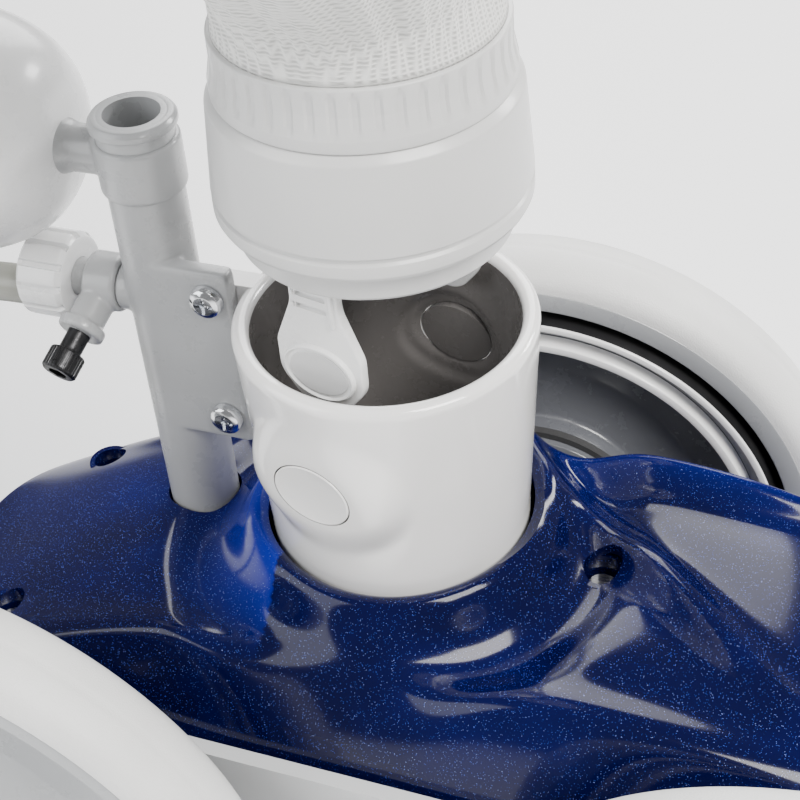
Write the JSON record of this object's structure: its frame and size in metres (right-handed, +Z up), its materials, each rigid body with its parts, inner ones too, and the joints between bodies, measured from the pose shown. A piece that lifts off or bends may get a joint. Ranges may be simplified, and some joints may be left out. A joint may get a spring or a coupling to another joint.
{
  "type": "pool cleaner",
  "caption": "Wheeled pressure-side pool cleaner with a blue shell, suction tube, lift-off filter bag, feed pipe, float and sweep hose.",
  "frame": {"origin": "on the ground under the middle of the machine, without the sweep hose", "axes": "+X to the front, +Y to the single-wheel side, +Z up"},
  "size_m": [0.5785, 0.26, 0.536],
  "materials": {
    "body_blue": "moulded blue plastic, glossy",
    "shell_blue": "tinted glossy blue with fine pearl flakes",
    "side_white": "moulded white plastic, satin",
    "steel": "stainless, lightly brushed",
    "axle_plastic": "acetal, satin",
    "wheel_grey": "grey and white moulded wheel, satin",
    "tyre_white": "soft white tyre, fine matte",
    "cap_white": "moulded white, glossy",
    "water_white": "moulded white, glossy",
    "turbine_blue": "moulded blue, glossy",
    "belt_rubber": "ribbed black rubber",
    "tube_white": "moulded white, glossy, smoked inside",
    "collar_white": "moulded white, satin gloss",
    "bag_mesh": "fine white filter mesh",
    "pipe_grey": "light grey moulded plastic, satin gloss",
    "float_white": "smooth white, satin",
    "black_steel": "black oxide steel",
    "hose": "ribbed grey hose, satin",
    "scrubber_foam": "soft open foam sleeve"
  },
  "bodies": {
    "body": {"base_frame": "body_blue", "near_side_panel": "side_white", "far_side_panel": "side_white", "panel_screws": "steel", "rear_axle": "axle_plastic", "front_axle": "axle_plastic", "far_axle": "axle_plastic", "wheel_washers": "steel", "wheel_screws": "steel", "turbine_housing": "water_white", "turbine_cover": "water_white", "shaft_bushes": "axle_plastic", "rear_belt": "belt_rubber", "front_belt": "belt_rubber", "far_belt": "belt_rubber", "water_manifold": "water_white", "vacuum_jets": "water_white", "thrust_jet_socket": "water_white", "thrust_jet_ring": "water_white", "vacuum_tube": "tube_white", "feed_pipe": "pipe_grey", "flange_screws": "steel", "float_front": "float_white", "float_back": "float_white", "float_clip": "pipe_grey", "hose_barb": "pipe_grey", "hose_nut": "pipe_grey", "top_shell": "shell_blue", "shell_screws": "steel", "sweep_hose": "hose", "sweep_hose_coil": "hose", "sweep_hose_tail": "hose", "tail_scrubber": "scrubber_foam"},
    "rear_wheel_group": {"rear_wheel": "wheel_grey", "rear_tyre": "tyre_white", "rear_bearings": "steel", "rear_hub_cap": "cap_white"},
    "front_wheel_group": {"front_wheel": "wheel_grey", "front_tyre": "tyre_white", "front_bearings": "steel", "front_hub_cap": "cap_white"},
    "far_wheel_group": {"far_wheel": "wheel_grey", "far_tyre": "tyre_white", "far_bearings": "steel", "far_hub_cap": "cap_white"},
    "turbine_group": {"turbine_wheel": "turbine_blue", "drive_shaft": "steel", "near_drive_pulley": "axle_plastic", "far_drive_pulley": "axle_plastic"},
    "thrust_jet": {"thrust_jet_ball": "water_white"},
    "near_button": {"near_release_button": "tube_white"},
    "far_button": {"far_release_button": "tube_white"},
    "bag_assembly": {"bag_collar": "collar_white", "bag_clamp_ring": "collar_white", "filter_bag": "bag_mesh"},
    "near_arm": {"near_snap_arm": "collar_white"},
    "far_arm": {"far_snap_arm": "collar_white"},
    "hose_screw": {"adjusting_screw": "black_steel"}
  },
  "joints": [
    {"name": "rear_wheel_spin", "type": "hinge", "parent": "body", "child": "rear_wheel_group", "pos_m": [-0.112, -0.084, 0.088], "axis": [0, 1, 0], "continuous": true},
    {"name": "front_wheel_spin", "type": "hinge", "parent": "body", "child": "front_wheel_group", "pos_m": [0.112, -0.084, 0.088], "axis": [0, 1, 0], "continuous": true},
    {"name": "far_wheel_spin", "type": "hinge", "parent": "body", "child": "far_wheel_group", "pos_m": [0.004, 0.084, 0.088], "axis": [0, 1, 0], "continuous": true},
    {"name": "turbine_spin", "type": "hinge", "parent": "body", "child": "turbine_group", "pos_m": [0.054, 0, 0.066], "axis": [0, 1, 0], "continuous": true},
    {"name": "thrust_jet_tilt", "type": "hinge", "parent": "body", "child": "thrust_jet", "pos_m": [-0.158, 0, 0.058], "axis": [0, 1, 0], "range_deg": [-15, 15]},
    {"name": "near_button_press", "type": "slide", "parent": "body", "child": "near_button", "axis": [0.2079, 0.9781, 0], "range_m": [0, 0.0025], "stiffness_N_per_m": 400},
    {"name": "far_button_press", "type": "slide", "parent": "body", "child": "far_button", "axis": [-0.2079, -0.9781, 0], "range_m": [0, 0.0025], "stiffness_N_per_m": 400},
    {"name": "bag_lift", "type": "slide", "parent": "body", "child": "bag_assembly", "axis": [0, 0, 1], "range_m": [-0.041, 0.02]},
    {"name": "near_arm_flex", "type": "hinge", "parent": "bag_assembly", "child": "near_arm", "pos_m": [-0.02343, -0.01753, 0.236], "axis": [0.9781, -0.2079, 0], "range_deg": [0, 9.2]},
    {"name": "far_arm_flex", "type": "hinge", "parent": "bag_assembly", "child": "far_arm", "pos_m": [-0.01257, 0.03353, 0.236], "axis": [-0.9781, 0.2079, 0], "range_deg": [0, 9.2]},
    {"name": "hose_screw_turn", "type": "hinge", "parent": "body", "child": "hose_screw", "pos_m": [-0.0966, 0.0135, 0.191], "axis": [-0.1504, -0.8892, -0.4321], "range_deg": [0, 360]}
  ],
  "couplings": [
    {"joint": "front_wheel_spin", "follows": "rear_wheel_spin", "ratio": 1},
    {"joint": "far_wheel_spin", "follows": "rear_wheel_spin", "ratio": 1},
    {"joint": "turbine_spin", "follows": "rear_wheel_spin", "ratio": 4},
    {"joint": "near_arm_flex", "follows": "near_button_press", "rad_per_m": 64},
    {"joint": "far_arm_flex", "follows": "far_button_press", "rad_per_m": 64}
  ]
}
